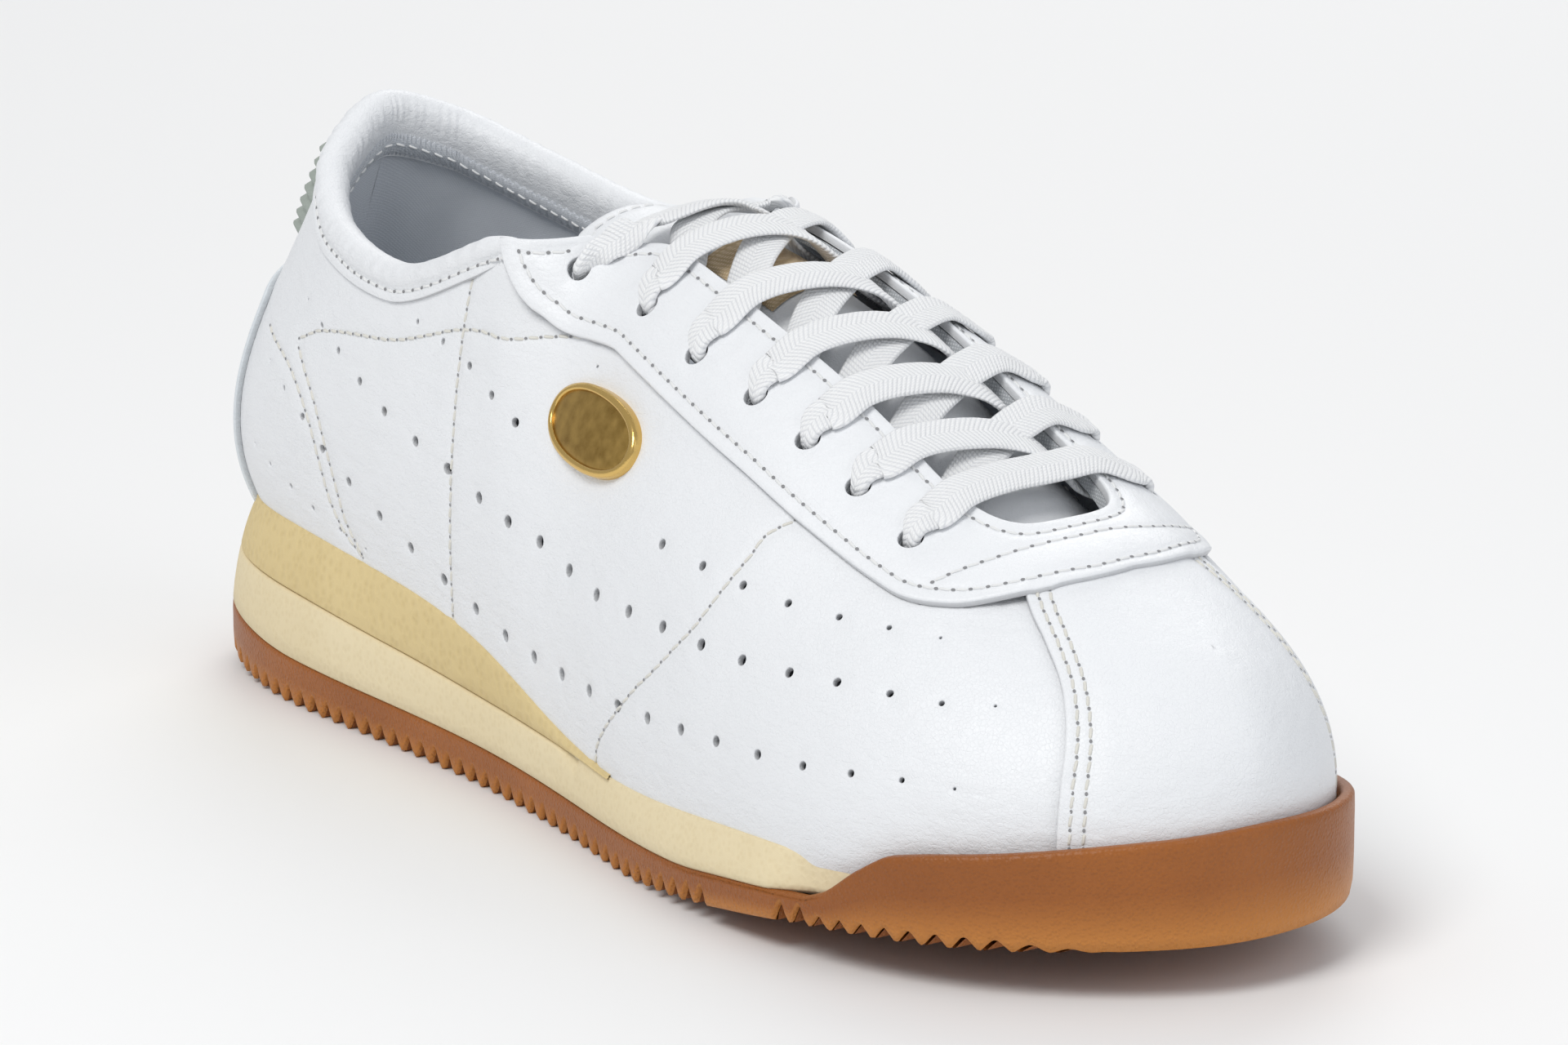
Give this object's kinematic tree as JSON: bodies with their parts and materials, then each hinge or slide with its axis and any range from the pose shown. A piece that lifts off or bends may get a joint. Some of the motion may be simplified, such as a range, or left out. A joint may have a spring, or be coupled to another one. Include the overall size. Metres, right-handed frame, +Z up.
{
  "type": "court shoe",
  "caption": "Low-cut lace-up court shoe for the right foot: white leather upper with a padded collar, wedge midsole and gum rubber outsole that wraps the toe.",
  "frame": {"origin": "middle of the bounding box, on the floor under the sole", "axes": "+X to the toe, +Y to the inner side of the foot, +Z up"},
  "size_m": [0.2642, 0.0924, 0.1009],
  "materials": {
    "gum_rubber": "satin gum rubber, finely pebbled",
    "foam_midsole": "matt cream foam",
    "foam_wedge": "matt beige foam, pebbled",
    "board": "fibre board",
    "sock_fabric": "fine knit",
    "white_leather": "smooth leather, semi gloss",
    "eyestay_leather": "smooth leather, semi gloss",
    "backstay_leather": "smooth leather",
    "collar_leather": "soft leather",
    "tongue_leather": "soft leather",
    "facing_fabric": "woven backing",
    "lining_fabric": "knit lining",
    "binding_fabric": "pinked tape",
    "tongue_foam": "open foam",
    "label_fabric": "woven label, blank",
    "stiffener": "thermoplastic sheet",
    "heel_tab_rubber": "matt rubber",
    "lace_cotton": "flat woven cotton",
    "aglet_plastic": "clear film over cotton",
    "badge_metal": "antiqued, bright edge",
    "washer_metal": "stamped"
  },
  "bodies": {
    "shoe": {"outsole": "gum_rubber", "midsole": "foam_midsole", "heel_wedge": "foam_wedge", "lasting_board": "board", "quarter_lateral": "white_leather", "quarter_medial": "white_leather", "toe_cap": "white_leather", "vamp_lining": "lining_fabric", "toe_puff": "stiffener", "eyestay": "eyestay_leather", "eyestay_facing": "facing_fabric", "backstay": "backstay_leather", "heel_tab": "heel_tab_rubber", "heel_counter": "stiffener", "collar_roll": "collar_leather", "collar_binding": "binding_fabric", "lining_lateral": "lining_fabric", "lining_medial": "lining_fabric", "lace": "lace_cotton", "aglet_lateral": "aglet_plastic", "aglet_medial": "aglet_plastic", "badge": "badge_metal", "badge_washer_rear": "washer_metal", "badge_washer_front": "washer_metal"},
    "tongue": {"tongue_face": "tongue_leather", "tongue_foam": "tongue_foam", "tongue_lining": "lining_fabric", "tongue_patch": "label_fabric"},
    "sockliner": {"sockliner": "sock_fabric"}
  },
  "joints": [
    {"name": "tongue_flex", "type": "hinge", "parent": "shoe", "child": "tongue", "pos_m": [0.0778, 0.0084, 0.055], "axis": [0, -1, 0], "range_deg": [0, 4]},
    {"name": "sockliner_lift", "type": "hinge", "parent": "shoe", "child": "sockliner", "pos_m": [0.122, 0.0046, 0.0222], "axis": [0, 1, 0], "range_deg": [0, 4]}
  ]
}
